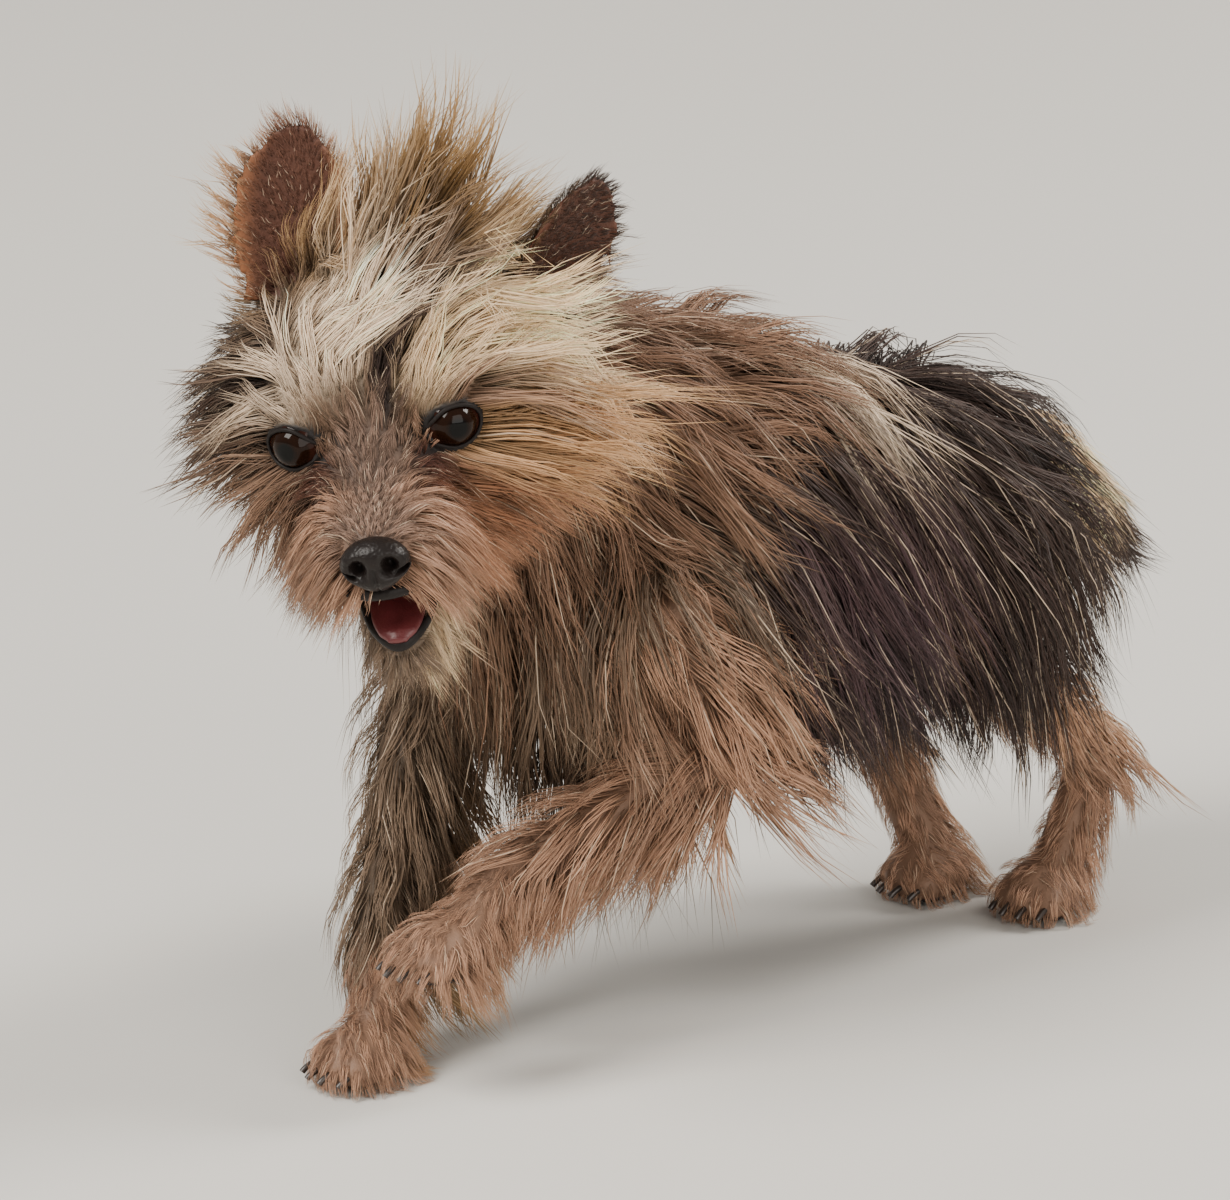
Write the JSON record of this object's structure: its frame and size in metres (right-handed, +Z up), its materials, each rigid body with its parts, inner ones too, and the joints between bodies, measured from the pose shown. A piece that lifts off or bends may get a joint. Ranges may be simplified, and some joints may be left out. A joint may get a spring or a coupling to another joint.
{
  "type": "yorkshire terrier model",
  "caption": "Life-size still model of a small long-coated terrier at a run, one fore foot lifted and the head turned to its left.",
  "frame": {"origin": "on the floor under the middle of the whole model", "axes": "+X to the animal's left, +Y to its rear, so that it faces -Y, +Z up"},
  "size_m": [0.1286, 0.3208, 0.2703],
  "materials": {
    "dark_coat": "long silky blackish-brown hair",
    "grey_coat": "long silky grey-brown hair",
    "gold_coat": "long pale gold hair, silver on the brow and rust at the mouth",
    "tan_coat": "medium tan hair, paler at the tips",
    "nose_leather": "moist black pebbled skin",
    "eye": "wet dark brown",
    "tongue": "moist pink"
  },
  "bodies": {
    "root": {"ear_left": "dark_coat", "ear_right": "tan_coat", "eye_left": "eye", "eye_right": "eye", "fore_left_lower_leg": "tan_coat", "fore_left_paw": "tan_coat", "fore_left_upper_leg": "grey_coat", "fore_right_lower_leg": "tan_coat", "fore_right_paw": "tan_coat", "fore_right_upper_leg": "grey_coat", "head": "gold_coat", "hind_left_lower_leg": "tan_coat", "hind_left_paw": "tan_coat", "hind_left_upper_leg": "dark_coat", "hind_right_lower_leg": "tan_coat", "hind_right_paw": "tan_coat", "hind_right_upper_leg": "dark_coat", "jaw": "gold_coat", "neck": "grey_coat", "nose": "nose_leather", "tail": "dark_coat", "tongue": "tongue", "torso": "dark_coat"}
  },
  "joints": []
}
